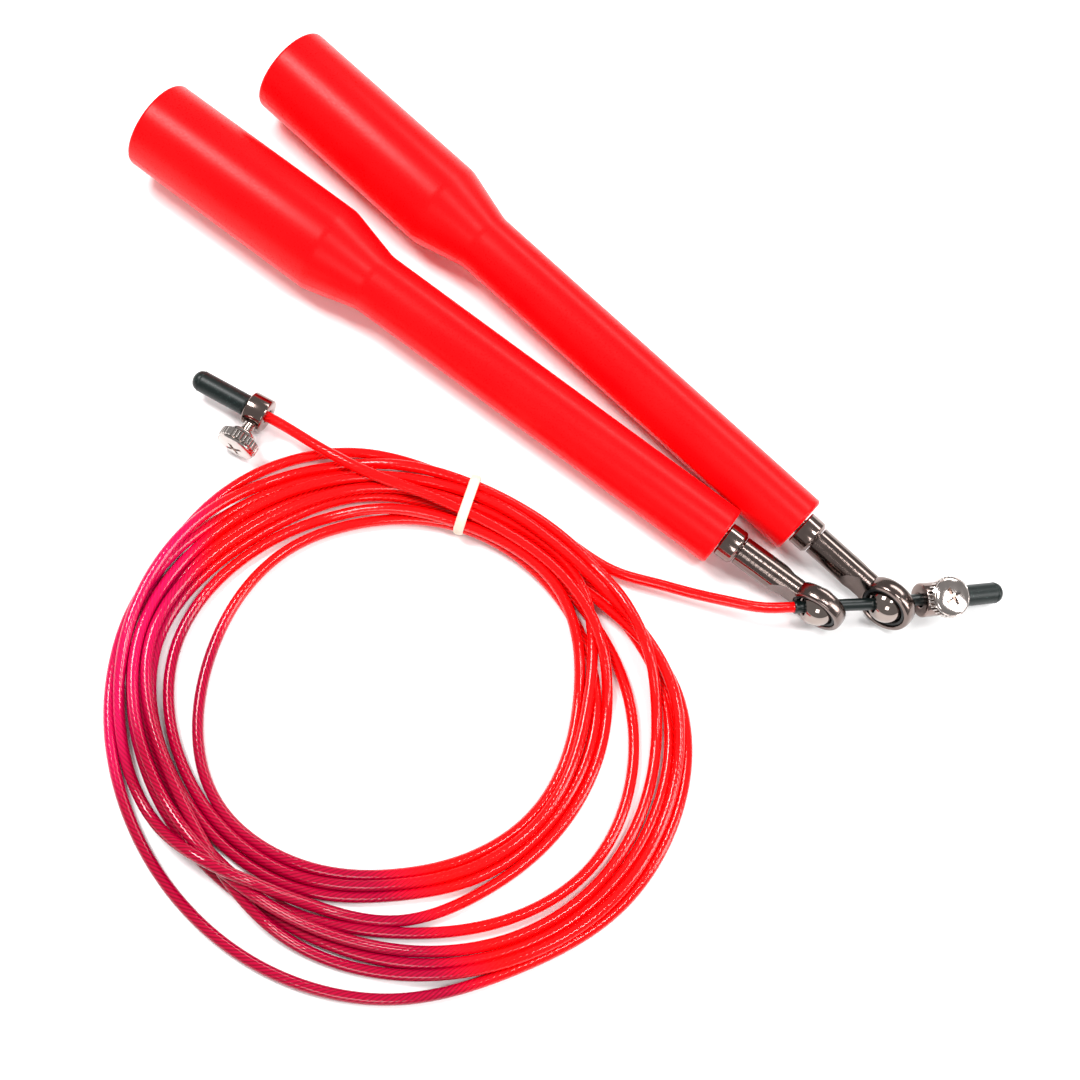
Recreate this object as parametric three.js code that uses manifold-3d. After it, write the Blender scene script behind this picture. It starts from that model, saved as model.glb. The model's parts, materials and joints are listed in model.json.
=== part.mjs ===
// Speed jump rope, packed: two moulded grips that spin on rod-end eyes, both eyes threaded on one
// end of a coated steel cable, and the rest of the cable coiled and held by a tie.
// Units are millimetres, +Z up, the floor at z = 0. +X runs from the grips' butts to their eyes,
// and the origin is on the floor under the middle of the two handles.
import * as THREE from "three";
import { mergeVertices } from "three/addons/utils/BufferGeometryUtils.js";
import Module from "manifold-3d";

const wasm = await Module();
wasm.setup();

// ---- Driving dimensions -------------------------------------------------------------------
const gap = 0.3;                  // clearance between neighbouring solids

const gripLength = 165;
const buttRadius = 10.95;         // thick end of the grip
const buttFillet = 1.6;
const thickRadius = 11;           // largest radius, where the cone starts
const coneStart = 51.3;           // stations measured from the butt
const coneEnd = 64.5;
const barrelRadius = 7.5;         // slim part, just after the cone
const tipRadius = 7.26;
const tipEdge = 0.5;
const buttBore = 9;
const buttBoreDepth = 44;
const barrelBore = 5.8;           // takes the bearing
const barrelBoreStart = 60;
const tipWall = 3;                // end wall that the bearing pulls against
const tipHole = 3.4;

const stemRadius = 2;             // M4 stem of the eye rod
const bearingRadius = 5.5;        // 4 x 11 x 4 mm ball bearing
const bearingWidth = 4;
const outerRaceway = 4.8;
const innerRaceway = 2.7;
const bearingBallRadius = 0.75;
const bearingBallCount = 7;
const washerThickness = 0.8;
const nutAcrossFlats = 7;
const lockNutHeight = 5;

const collarLength = 4.4;
const collarRadius = 4.2;
const collarEdge = 0.3;
const collarChamfer = 0.7;        // at its front
const shankRadius = 3.5;
const eyeReach = 26.6;            // grip tip to eye centre
const eyeRadius = 6.8;
const eyeEdgeRadius = 6.25;
const eyeBore = 5.45;
const eyeWidth = 3.8;
const raceOuter = 5.1;
const raceInner = 4.68;
const raceWidth = 2.9;
const ballRadius = 4.35;
const ballHalfLength = 3.4;
const ballBore = 1.9;

const cableRadius = 1.25;
const sleeveRadius = 1.3;
const capRadius = 2.5;
const capLength = 14.2;
const capBore = 1.6;
const capBoreDepth = 9;
const stopperRadius = 4;
const stopperLength = 5;
const stopperBore = 1.65;
const screwRadius = 1.5;          // M3 clamp screw, distances measured from the cable's axis
const screwTip = 1.65;
const bossStart = 6;
const knurlStart = 7.3;
const knurlEnd = 9.7;
const bossRadius = 2.9;
const knurlRadius = 4.7;
const knurlDepth = 0.35;
const knurlTeeth = 24;
const headRadius = 4.5;
const headHeight = 0.9;

const coilInner = 35;
const coilOuter = 62;
const coilHeight = 7.6;
const coilEdge = 2;
const coilStretch = new THREE.Vector3(1.032, 0.968, 1);   // the turns lie in a slight oval
const tieAngle = THREE.MathUtils.degToRad(112.2);         // across the turns, from +X
const tieWidth = 2.2;
const tieThickness = 0.9;
const bundleWidth = 12.4;         // the turns where the tie gathers them
const bundleHeight = 4.7;

// ---- Layout -------------------------------------------------------------------------------
const splay = THREE.MathUtils.degToRad(3.25);           // half the angle between the handles
const eyeStation = gripLength + eyeReach;
// A handle rests on the thick end of its grip and on its eye.
const restSpan = eyeStation - coneStart;
const layDown = Math.acos(eyeRadius / Math.hypot(thickRadius, restSpan))
  - Math.atan2(restSpan, thickRadius);
const leftEye = new THREE.Vector3(86.51, -5.675, eyeRadius);
const rightEye = new THREE.Vector3(98.51, 5.675, eyeRadius);
const eyeLine = rightEye.clone().sub(leftEye).normalize();   // the cable through both eyes
// Past the right eye the cable's end bends a little and droops to the floor.
const handleBend = rightEye.clone().addScaledVector(eyeLine, 1.2);
const handleStopperReach = 9.7;   // bend to stopper centre
const handleCapGap = 2.7;
const droop = THREE.MathUtils.degToRad(8);
const handleYaw = THREE.MathUtils.degToRad(49.2);
const handleLine = new THREE.Vector3(
  Math.cos(handleYaw) * Math.cos(droop),
  Math.sin(handleYaw) * Math.cos(droop),
  -Math.sin(droop),
);
const handleStopper = handleBend.clone().addScaledVector(handleLine, handleStopperReach);
const handleScrewTilt = THREE.MathUtils.degToRad(15);
const coilCentre = new THREE.Vector3(29.5, -87, 0);
const tieCentre = new THREE.Vector3(10.4, -38.9, 0);
const freeStopper = new THREE.Vector3(-39.8, -53.5, 4.9);
const freeYaw = THREE.MathUtils.degToRad(11);
const freeLine = new THREE.Vector3(Math.cos(freeYaw), Math.sin(freeYaw), 0);

// Cable from the coil's outer wall to the sleeve at the left eye.
const handleLeadRoute = [
  new THREE.Vector3(48.2, -27.9, 3.3),
  new THREE.Vector3(55, -25, 3.8),
  new THREE.Vector3(62.2, -21.9, 4.4),
  new THREE.Vector3(67, -19.7, 4.9),
  new THREE.Vector3(71.5, -17.5, 5.6),
  new THREE.Vector3(75.9, -15.1, 6.4),
  leftEye.clone().addScaledVector(eyeLine, -9.7),
  leftEye.clone().addScaledVector(eyeLine, -7.3),
];
// Cable from inside the free end's cap, through its stopper, to the coil's outer wall.
const freeLeadRoute = [
  freeStopper.clone().addScaledVector(freeLine, -10.5),
  freeStopper.clone().addScaledVector(freeLine, -5),
  freeStopper.clone(),
  freeStopper.clone().addScaledVector(freeLine, 6),
  new THREE.Vector3(-29.4, -51.7, 5),
  new THREE.Vector3(-24.8, -51.1, 5.1),
];

// ---- Materials ----------------------------------------------------------------------------
const finish = (color, roughness, metalness) =>
  new THREE.MeshStandardMaterial({ color, roughness, metalness });
const finishes = {
  grip: () => finish(0xff1a20, 0.45, 0),
  nickel: () => finish(0x6b5f5a, 0.2, 1),
  steel: () => finish(0xb8b8b8, 0.3, 1),
  black: () => finish(0x14211f, 0.5, 0),
  cable: () => finish(0xe01020, 0.25, 0),
  tie: () => finish(0xfff4e8, 0.55, 0),
};

// ---- Shape helpers ------------------------------------------------------------------------
// A profile is a list of [radius, station]; the result's axis is +X.
function turned(profile, sides) {
  const geometry = new THREE.LatheGeometry(
    profile.map(([radius, station]) => new THREE.Vector2(radius, station)),
    sides,
  );
  return geometry.rotateZ(-Math.PI / 2);
}

function tube(inner, outer, start, end, sides) {
  return turned(
    [[inner, start], [outer, start], [outer, end], [inner, end], [inner, start]],
    sides,
  );
}

function box(sizeX, sizeY, sizeZ, x, y, z) {
  return new THREE.BoxGeometry(sizeX, sizeY, sizeZ).translate(x, y, z);
}

// A flat outline in X and Y, with holes, thickened along +Z.
function plate(outline, holes, thickness) {
  const shape = new THREE.Shape(outline);
  shape.holes = holes.map((hole) => new THREE.Path(hole));
  return new THREE.ExtrudeGeometry(shape, { depth: thickness, bevelEnabled: false });
}

function polygon(sides, radius, turn = 0) {
  return Array.from({ length: sides }, (_, i) => {
    const angle = turn + (2 * Math.PI * i) / sides;
    return new THREE.Vector2(radius * Math.cos(angle), radius * Math.sin(angle));
  });
}

function solid(geometry) {
  const plain = geometry.index ? geometry.toNonIndexed() : geometry.clone();
  plain.deleteAttribute("normal");
  plain.deleteAttribute("uv");
  const merged = mergeVertices(plain, 1e-4);
  const corners = merged.index.array;
  const triangles = [];
  for (let i = 0; i < corners.length; i += 3) {
    const [a, b, c] = corners.slice(i, i + 3);
    if (a !== b && b !== c && c !== a) triangles.push(a, b, c);
  }
  return new wasm.Manifold(new wasm.Mesh({
    numProp: 3,
    vertProperties: new Float32Array(merged.attributes.position.array),
    triVerts: new Uint32Array(triangles),
  }));
}

function geometryOf(manifold) {
  const mesh = manifold.getMesh();
  const geometry = new THREE.BufferGeometry();
  geometry.setAttribute("position", new THREE.BufferAttribute(mesh.vertProperties, 3));
  geometry.setIndex(new THREE.BufferAttribute(mesh.triVerts, 1));
  geometry.computeVertexNormals();
  return geometry;
}

function cut(geometry, ...tools) {
  return geometryOf(tools.reduce((rest, tool) => rest.subtract(solid(tool)), solid(geometry)));
}

function cord(route, radius, steps) {
  const section = new THREE.Shape(polygon(8, radius, Math.PI / 8));
  const extrudePath = new THREE.CatmullRomCurve3(route);
  return new THREE.ExtrudeGeometry(section, { steps, extrudePath, bevelEnabled: false });
}

const rope = new THREE.Group();

function add(parent, name, geometry, material) {
  const mesh = new THREE.Mesh(geometry, material());
  mesh.name = name;
  parent.add(mesh);
  return mesh;
}

// A group whose +X points along a direction.
function along(direction, origin, parent = rope) {
  const group = new THREE.Group();
  group.position.copy(origin);
  group.quaternion.setFromUnitVectors(new THREE.Vector3(1, 0, 0), direction);
  parent.add(group);
  return group;
}

// ---- Grip and butt plug -------------------------------------------------------------------
function gripGeometry() {
  const fillet = [0, 1, 2, 3].map((i) => {
    const angle = (i * Math.PI) / 6;
    return [
      buttRadius - buttFillet + buttFillet * Math.sin(angle),
      buttFillet - buttFillet * Math.cos(angle),
    ];
  });
  return turned([
    [buttBore, 0],
    ...fillet,
    [thickRadius, coneStart],
    [barrelRadius, coneEnd],
    [tipRadius, gripLength - tipEdge],
    [tipRadius - tipEdge, gripLength],
    [tipHole, gripLength],
    [tipHole, gripLength - tipWall],
    [barrelBore, gripLength - tipWall],
    [barrelBore, barrelBoreStart],
    [buttBore, buttBoreDepth],
    [buttBore, 0],
  ], 40);
}

function buttPlugGeometry() {
  const radius = buttBore - gap;
  const depth = 8;
  const wall = 1.6;
  return turned([
    [0, 0.2],
    [radius - 0.5, 0.2],
    [radius, 0.7],
    [radius, depth],
    [radius - wall, depth],
    [radius - wall, wall],
    [0, wall],
  ], 32);
}

// ---- Bearing at the tip -------------------------------------------------------------------
const bearingEnd = gripLength - tipWall - gap;
const bearingStart = bearingEnd - bearingWidth;
const pitchRadius = (outerRaceway + innerRaceway) / 2;

function ballCageGeometry() {
  const middle = bearingStart + bearingWidth / 2;
  const ring = tube(pitchRadius - 0.3, pitchRadius + 0.3, middle - 0.35, middle + 0.35, 28);
  let cage = solid(ring);
  for (let i = 0; i < bearingBallCount; i += 1) {
    const angle = (2 * Math.PI * i) / bearingBallCount;
    const ball = new THREE.SphereGeometry(bearingBallRadius, 8, 5);
    ball.translate(middle, pitchRadius * Math.cos(angle), pitchRadius * Math.sin(angle));
    cage = cage.add(solid(ball));
  }
  return geometryOf(cage);
}

function lockNutGeometry(start) {
  const length = lockNutHeight;
  const chamfer = 0.4;
  const corner = nutAcrossFlats / Math.sqrt(3);
  const outline = plate(polygon(6, corner, Math.PI / 6), [polygon(16, stemRadius + gap)], length);
  outline.rotateY(Math.PI / 2).translate(start, 0, 0);
  const end = start + length;
  const blank = turned([
    [0, start],
    [corner, start],
    [corner, end - chamfer],
    [corner - chamfer, end],
    [0, end],
  ], 24);
  return geometryOf(solid(outline).intersect(solid(blank)));
}

// ---- Collar and eye rod -------------------------------------------------------------------
function collarGeometry() {
  const start = gripLength + gap;
  const end = start + collarLength;
  return turned([
    [stemRadius + gap, start],
    [collarRadius - collarEdge, start],
    [collarRadius, start + collarEdge],
    [collarRadius, end - collarChamfer],
    [collarRadius - collarChamfer, end],
    [stemRadius + gap, end],
    [stemRadius + gap, start],
  ], 36);
}

const shankStart = gripLength + gap + collarLength + gap;
const stemStart = bearingStart - gap - washerThickness - gap - lockNutHeight - 1;
const bladeStart = shankStart + 9;
const bladeEnd = bladeStart + 4;

function eyeRodGeometry() {
  const rod = turned([
    [0, stemStart],
    [stemRadius - 0.4, stemStart],
    [stemRadius, stemStart + 0.4],
    [stemRadius, shankStart],
    [shankRadius, shankStart],
    [shankRadius, eyeStation - eyeBore],
    [0, eyeStation - eyeBore],
  ], 24);
  // Seen from above: the round shank, then the chisel cut down to the blade.
  const blade = eyeWidth / 2;
  const side = [
    [stemStart - 1, shankRadius],
    [bladeStart, shankRadius],
    [bladeEnd, blade],
    [eyeStation, blade],
  ];
  const outline = [...side, ...side.map(([x, y]) => [x, -y]).reverse()];
  const profile = plate(outline.map(([x, y]) => new THREE.Vector2(x, y)), [], 8);
  profile.translate(0, 0, -4);
  const eye = turned([
    [eyeBore - 1, -blade],
    [eyeEdgeRadius, -blade],
    [eyeRadius - 0.1, -blade / 2],
    [eyeRadius, 0],
    [eyeRadius - 0.1, blade / 2],
    [eyeEdgeRadius, blade],
    [eyeBore - 1, blade],
    [eyeBore - 1, -blade],
  ], 40).rotateZ(Math.PI / 2).translate(eyeStation, 0, 0);
  const bore = turned([[0, -4], [eyeBore, -4], [eyeBore, 4], [0, 4]], 40);
  bore.rotateZ(Math.PI / 2).translate(eyeStation, 0, 0);
  const shank = solid(rod).intersect(solid(profile));
  return geometryOf(shank.add(solid(eye)).subtract(solid(bore)));
}

function raceGeometry() {
  const half = raceWidth / 2;
  const seat = [-1, -0.5, 0, 0.5, 1].map((t) => [
    Math.sqrt(raceInner ** 2 - (t * half) ** 2),
    t * half,
  ]);
  const race = turned([
    seat[0],
    [raceOuter, -half],
    [raceOuter, half],
    ...seat.reverse(),
  ], 32);
  return race.rotateZ(Math.PI / 2).translate(eyeStation, 0, 0);
}

function swivelBallGeometry() {
  const limit = Math.asin(ballHalfLength / ballRadius);
  const steps = 8;
  const surface = Array.from({ length: steps + 1 }, (_, i) => {
    const angle = limit * ((2 * i) / steps - 1);
    return [ballRadius * Math.cos(angle), ballRadius * Math.sin(angle)];
  });
  return turned([
    [ballBore, -ballHalfLength],
    ...surface,
    [ballBore, ballHalfLength],
    [ballBore, -ballHalfLength],
  ], 24);
}

// ---- One handle ---------------------------------------------------------------------------
function addHandle(side, eye, yaw, roll) {
  const handle = new THREE.Group();
  handle.position.copy(eye);
  handle.rotation.set(0, layDown, yaw, "ZYX");
  rope.add(handle);
  const fromButt = new THREE.Group();
  fromButt.position.x = -eyeStation;
  handle.add(fromButt);
  add(fromButt, `${side}_grip`, gripGeometry(), finishes.grip);
  add(fromButt, `${side}_butt_plug`, buttPlugGeometry(), finishes.grip);
  add(fromButt, `${side}_bearing_outer_ring`,
    tube(outerRaceway, bearingRadius, bearingStart, bearingEnd, 28), finishes.steel);
  add(fromButt, `${side}_bearing_inner_ring`,
    tube(stemRadius + gap, innerRaceway, bearingStart, bearingEnd, 20), finishes.steel);
  add(fromButt, `${side}_bearing_ball_cage`, ballCageGeometry(), finishes.steel);
  const washerEnd = bearingStart - gap;
  const nutEnd = washerEnd - washerThickness - gap;
  add(fromButt, `${side}_washer`,
    tube(stemRadius + gap, 4.4, washerEnd - washerThickness, washerEnd, 20), finishes.steel);
  add(fromButt, `${side}_lock_nut`,
    lockNutGeometry(nutEnd - lockNutHeight), finishes.steel);
  add(fromButt, `${side}_spacer_sleeve`,
    tube(stemRadius + gap, 2.9, bearingEnd + gap, gripLength, 20), finishes.steel);

  const rolled = new THREE.Group();
  rolled.rotation.x = roll;
  fromButt.add(rolled);
  add(rolled, `${side}_collar`, collarGeometry(), finishes.nickel);
  add(rolled, `${side}_eye_rod`, eyeRodGeometry(), finishes.nickel);
  add(rolled, `${side}_eye_race`, raceGeometry(), finishes.black);
  add(along(eyeLine, eye), `${side}_swivel_ball`, swivelBallGeometry(), finishes.nickel);
}

addHandle("left", leftEye, splay, 0);
addHandle("right", rightEye, -splay, THREE.MathUtils.degToRad(-12));

// ---- Stopper, clamp screw and cap on a cable end ------------------------------------------
// In each group +X points along the cable away from its cap, and +Z along the clamp screw.
function stopperGeometry() {
  const barrel = tube(stopperBore, stopperRadius, -stopperLength / 2, stopperLength / 2, 28);
  const hole = turned([[0, 0], [screwRadius + gap, 0], [screwRadius + gap, 6], [0, 6]], 16);
  return cut(barrel, hole.rotateY(-Math.PI / 2));
}

function clampScrewGeometry() {
  const headStart = knurlEnd + gap;
  const headEnd = headStart + headHeight;
  const screw = turned([
    [0, screwTip],
    [screwRadius - 0.4, screwTip],
    [screwRadius, screwTip + 0.4],
    [screwRadius, headStart],
    [headRadius, headStart],
    [headRadius - 0.3, headStart + 0.6],
    [headRadius - 1.8, headEnd - 0.1],
    [0, headEnd],
  ], 24).rotateY(-Math.PI / 2);
  const slotDepth = 0.7;
  const recess = [box(4.4, 0.8, slotDepth, 0, 0, headEnd), box(0.8, 4.4, slotDepth, 0, 0, headEnd)];
  return cut(screw, ...recess);
}

function screwCollarGeometry() {
  const outline = Array.from({ length: knurlTeeth * 2 }, (_, i) => {
    const radius = i % 2 ? knurlRadius : knurlRadius - knurlDepth;
    const angle = (Math.PI * i) / knurlTeeth;
    return new THREE.Vector2(radius * Math.cos(angle), radius * Math.sin(angle));
  });
  const knurl = plate(outline, [], knurlEnd - knurlStart).translate(0, 0, knurlStart);
  const boss = turned([
    [0, bossStart],
    [bossRadius, bossStart],
    [bossRadius, knurlStart + 1],
    [0, knurlStart + 1],
  ], 20).rotateY(-Math.PI / 2);
  const hole = turned([[0, 5], [screwRadius + gap, 5], [screwRadius + gap, 14], [0, 14]], 16);
  const collar = solid(knurl).add(solid(boss));
  return geometryOf(collar.subtract(solid(hole.rotateY(-Math.PI / 2))));
}

function capGeometry(capGap) {
  const mouth = -stopperLength / 2 - capGap;
  const round = [0, 1, 2, 3].map((i) => {
    const angle = (i * Math.PI) / 6;
    return [
      capRadius - 1.2 + 1.2 * Math.sin(angle),
      mouth - capLength + 1.2 - 1.2 * Math.cos(angle),
    ];
  });
  return turned([
    [0, mouth - capLength],
    ...round,
    [capRadius, mouth],
    [capBore, mouth],
    [capBore, mouth - capBoreDepth],
    [0, mouth - capBoreDepth],
  ], 20);
}

function addCableEnd(name, centre, direction, screwDirection, capGap) {
  const end = new THREE.Group();
  const side = new THREE.Vector3().crossVectors(screwDirection, direction);
  end.quaternion.setFromRotationMatrix(new THREE.Matrix4().makeBasis(direction, side, screwDirection));
  end.position.copy(centre);
  rope.add(end);
  add(end, `${name}_stopper`, stopperGeometry(), finishes.nickel);
  add(end, `${name}_clamp_screw`, clampScrewGeometry(), finishes.nickel);
  add(end, `${name}_screw_collar`, screwCollarGeometry(), finishes.nickel);
  add(end, `${name}_cap`, capGeometry(capGap), finishes.black);
}

// The handle end's screw leans over from straight up.
const aside = new THREE.Vector3(handleLine.y, -handleLine.x, 0).normalize();
const upright = new THREE.Vector3().crossVectors(aside, handleLine);
const handleScrew = upright.multiplyScalar(Math.cos(handleScrewTilt))
  .addScaledVector(aside, Math.sin(handleScrewTilt));
const freeScrew = new THREE.Vector3(freeLine.y, -freeLine.x, 0);
addCableEnd("handle_end", handleStopper, handleLine.clone().negate(), handleScrew, handleCapGap);
addCableEnd("free_end", freeStopper, freeLine, freeScrew, gap);

// ---- Cable, sleeve and tie ----------------------------------------------------------------
const sleeveEnd = stopperLength / 2 + handleCapGap + capBoreDepth - gap;
const sleeveRoute = [
  leftEye.clone().addScaledVector(eyeLine, -7),
  leftEye.clone(),
  rightEye.clone().addScaledVector(eyeLine, -3),
  handleBend.clone().addScaledVector(eyeLine, -0.6),
  handleBend.clone().addScaledVector(handleLine, 3),
  handleStopper.clone(),
  handleStopper.clone().addScaledVector(handleLine, sleeveEnd),
];
add(rope, "cable_end_sleeve", cord(sleeveRoute, sleeveRadius, 28), finishes.black);
add(rope, "cable_handle_lead", cord(handleLeadRoute, cableRadius, 10), finishes.cable);
add(rope, "cable_free_lead", cord(freeLeadRoute, cableRadius, 8), finishes.cable);

// Shapes around the tie are drawn with +X across the turns, then set in place.
function atTie(geometry) {
  return geometry.rotateZ(tieAngle).translate(tieCentre.x, tieCentre.y, 0);
}

function coilGeometry() {
  const middle = coilHeight / 2;
  const ring = turned([
    [coilInner + coilEdge, 0],
    [coilOuter - coilEdge, 0],
    [coilOuter, middle],
    [coilOuter - coilEdge, coilHeight],
    [coilInner + coilEdge, coilHeight],
    [coilInner, middle],
    [coilInner + coilEdge, 0],
  ], 56).rotateY(-Math.PI / 2);
  ring.scale(...coilStretch).translate(coilCentre.x, coilCentre.y, 0);
  // The turns narrow to the bundle that the tie gathers.
  const slot = tieWidth + 2 * gap;
  const middleOfBundle = tieThickness + gap + bundleHeight / 2;
  const bundle = atTie(box(bundleWidth, slot * 2, bundleHeight, 0, 0, middleOfBundle));
  const slab = atTie(box(2 * (coilOuter - coilInner), slot, 20, 0, 0, 4));
  return geometryOf(solid(ring).subtract(solid(slab).subtract(solid(bundle))));
}

function tieGeometry() {
  const innerX = bundleWidth / 2 + gap;
  const innerY = bundleHeight / 2 + gap;
  const roundedBox = (halfX, halfY, round) => {
    const corners = [[1, 1, 0], [-1, 1, 1], [-1, -1, 2], [1, -1, 3]];
    return corners.flatMap(([signX, signY, quarter]) => [0, 1, 2].map((step) => {
      const angle = (quarter + step / 2) * (Math.PI / 2);
      return new THREE.Vector2(
        signX * (halfX - round) + round * Math.cos(angle),
        signY * (halfY - round) + round * Math.sin(angle),
      );
    }));
  };
  const outer = roundedBox(innerX + tieThickness, innerY + tieThickness, 2);
  const inner = roundedBox(innerX, innerY, 0.3);
  const loop = plate(outer, [inner], tieWidth);
  loop.translate(0, 0, -tieWidth / 2).rotateX(Math.PI / 2);
  return atTie(loop.translate(0, 0, innerY + tieThickness));
}

add(rope, "cable_coil", coilGeometry(), finishes.cable);
add(rope, "coil_tie", tieGeometry(), finishes.tie);

export default rope;
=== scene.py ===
import json
import math

import bpy
import numpy as np
from mathutils import Matrix, Vector


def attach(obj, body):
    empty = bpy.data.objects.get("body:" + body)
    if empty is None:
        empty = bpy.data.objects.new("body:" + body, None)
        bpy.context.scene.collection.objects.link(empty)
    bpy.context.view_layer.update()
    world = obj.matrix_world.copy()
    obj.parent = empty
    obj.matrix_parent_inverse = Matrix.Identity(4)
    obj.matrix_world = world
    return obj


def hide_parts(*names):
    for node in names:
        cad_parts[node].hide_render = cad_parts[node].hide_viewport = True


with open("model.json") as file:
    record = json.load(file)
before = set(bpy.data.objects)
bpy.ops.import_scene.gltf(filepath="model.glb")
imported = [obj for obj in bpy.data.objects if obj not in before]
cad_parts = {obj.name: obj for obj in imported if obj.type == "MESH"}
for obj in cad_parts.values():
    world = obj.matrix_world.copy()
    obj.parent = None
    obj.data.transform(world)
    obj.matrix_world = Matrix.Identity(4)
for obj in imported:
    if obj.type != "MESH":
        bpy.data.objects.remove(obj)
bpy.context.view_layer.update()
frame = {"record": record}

# ---- Studio -------------------------------------------------------------------------------
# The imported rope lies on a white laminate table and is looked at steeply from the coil's side,
# about seventy degrees above the table, under soft boxes in a dim white room.


def linear(code):
    """An sRGB hex colour as linear red, green, blue and alpha."""
    parts = [int(code[i:i + 2], 16) / 255 for i in (1, 3, 5)]
    return [p / 12.92 if p <= 0.04045 else ((p + 0.055) / 1.055) ** 2.4 for p in parts] + [1.0]


def add_node(tree, kind, settings=None, inputs=None):
    """Adds a node, sets its properties, and fills its sockets with values or links."""
    made = tree.nodes.new(kind)
    for name, value in (settings or {}).items():
        setattr(made, name, value)
    for key, value in (inputs or {}).items():
        if isinstance(value, bpy.types.NodeSocket):
            tree.links.new(value, made.inputs[key])
        else:
            made.inputs[key].default_value = value
    return made


def new_material(name, sockets):
    """A material's node tree and shader, whose even values sit on the shader's own sockets."""
    made = bpy.data.materials.new(name)
    made.use_nodes = True
    shader = made.node_tree.nodes["Principled BSDF"]
    for key, value in sockets.items():
        shader.inputs[key].default_value = value
    return made, made.node_tree, shader


camera_data = bpy.data.cameras.new("camera")
camera_data.sensor_width = 36
camera_data.lens = 53.18
camera_data.clip_start = 0.01
camera = bpy.data.objects.new("camera", camera_data)
camera.location = (0.0727, -0.1563, 0.3439)
camera.rotation_euler = [math.radians(angle) for angle in (19.715, -7.055, 38.930)]
bpy.context.scene.collection.objects.link(camera)
bpy.context.scene.camera = camera
bpy.context.scene.view_settings.view_transform = "Standard"

bpy.ops.object.select_all(action="DESELECT")
bpy.ops.mesh.primitive_plane_add(size=4, location=(0, 0, -0.0002))
floor = bpy.context.object
floor.name = "floor"
laminate, _, _ = new_material("white_laminate", {"Base Color": linear("#F7F7F7"), "Roughness": 0.6})
floor.data.materials.append(laminate)

room = bpy.data.worlds.new("room")
room.use_nodes = True
room.node_tree.nodes["Background"].inputs["Color"].default_value = linear("#FFFFFF")
room.node_tree.nodes["Background"].inputs["Strength"].default_value = 0.38
bpy.context.scene.world = room

SOFT_BOXES = {                   # place, width and height in metres, watts
    "key_box": ((-0.42, -0.10, 0.72), 0.25, 0.25, 6.5),
    "side_box": ((0.62, 0.22, 0.42), 0.18, 0.55, 3.2),
    "back_box": ((0.05, 0.62, 0.55), 0.7, 0.16, 3.2),
    "front_box": ((0.35, -0.62, 0.60), 0.3, 0.3, 2.1),
    "top_box": ((0.26, 0.02, 0.80), 0.15, 0.15, 2.0),
}
for name, (place, width, height, power) in SOFT_BOXES.items():
    box_data = bpy.data.lights.new(name, "AREA")
    box_data.shape = "RECTANGLE"
    box_data.size, box_data.size_y, box_data.energy = width, height, power
    box = bpy.data.objects.new(name, box_data)
    box.location = place
    box.rotation_euler = Vector(place).to_track_quat("Z", "Y").to_euler()
    bpy.context.scene.collection.objects.link(box)

# ---- Cable --------------------------------------------------------------------------------
# A 2.5 mm cable of twisted steel strands in a tinted see-through PVC coat, about 3 m long. It runs
# from the cap beside the handles, through both eyes, round nine loose turns, to the other cap.
MM = 0.001
CABLE_DIAMETER = 2.5
CABLE_SIDES = 14
CABLE_STEP = 2.0                 # length of one step along the cable
CABLE_REST = CABLE_DIAMETER / 2
JOINTS = {joint["name"]: joint for joint in frame["record"]["behaviour"]["joints"]}


def joint_place(name):
    return Vector(JOINTS[name]["pos_m"]) / MM


def joint_axis(name):
    return Vector(JOINTS[name]["axis"]).normalized()


LEFT_EYE = joint_place("left_handle_lift")
RIGHT_EYE = joint_place("right_handle_lift")
EYE_LINE = joint_axis("right_handle_lift")
HANDLE_STOPPER = joint_place("handle_end_screw_turn")
HANDLE_LINE = joint_axis("handle_end_stopper_turn")
HANDLE_BEND = RIGHT_EYE + EYE_LINE * 1.2
FREE_STOPPER = joint_place("free_end_screw_turn")
FREE_LINE = joint_axis("free_end_stopper_slide")

TURNS_CENTRE = Vector((28.5, -84.0, 0))
TIE_ANGLE = 111.9                # degrees round the turns' centre
TIE_RADIUS = 48.6
TIE_BAND = 0.95                  # the tie's band lies under the turns
# Where each passage lies across the tie, in two rows of five, the first on the handles' side.
TIE_SLOTS = (5, 2.5, 0, -2.5, -5, -5, 0, 2.5, 5, -2.5)
# Distance of each turn from the centre at these angles; the turns wander, cross and bunch.
STATIONS = (140, 165, 205, 250, 285, 311, 335, 360, 402)
TURNS = (
    (60.2, 62.8, 59.0, 53.7, 52.2, 54.9, 58.1, 60.6, 59.6),
    (54.6, 57.4, 61.6, 61.2, 62.0, 62.2, 61.8, 65.0, 62.6),
    (51.9, 53.3, 56.5, 51.2, 49.4, 48.9, 51.6, 54.7, 51.4),
    (49.2, 49.7, 54.0, 48.7, 44.4, 41.1, 41.3, 41.8, 44.0),
    (43.0, 43.3, 42.3, 43.7, 39.4, 36.7, 36.7, 38.0, 40.0),
    (45.4, 47.0, 50.0, 46.2, 41.9, 38.9, 39.0, 39.9, 42.0),
    (50.5, 51.4, 55.2, 50.0, 54.7, 57.4, 60.0, 62.8, 61.1),
    (53.2, 55.4, 57.8, 52.5, 50.8, 52.4, 55.6, 58.1, 57.1),
    (57.0, 59.9, 60.3, 56.2, 46.9, 46.4, 44.4, 44.3, 46.5),
)
BUNCH_ANGLE = 435                # where the turns come together again before the tie
BUNCH_RADIUS = 49.1


def on_turn(degrees, radius, height=CABLE_REST):
    angle = math.radians(degrees)
    return TURNS_CENTRE + Vector((radius * math.cos(angle), radius * math.sin(angle), height))


def at_tie(slot):
    return on_turn(TIE_ANGLE, TIE_RADIUS + slot, CABLE_REST + TIE_BAND)


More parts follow.
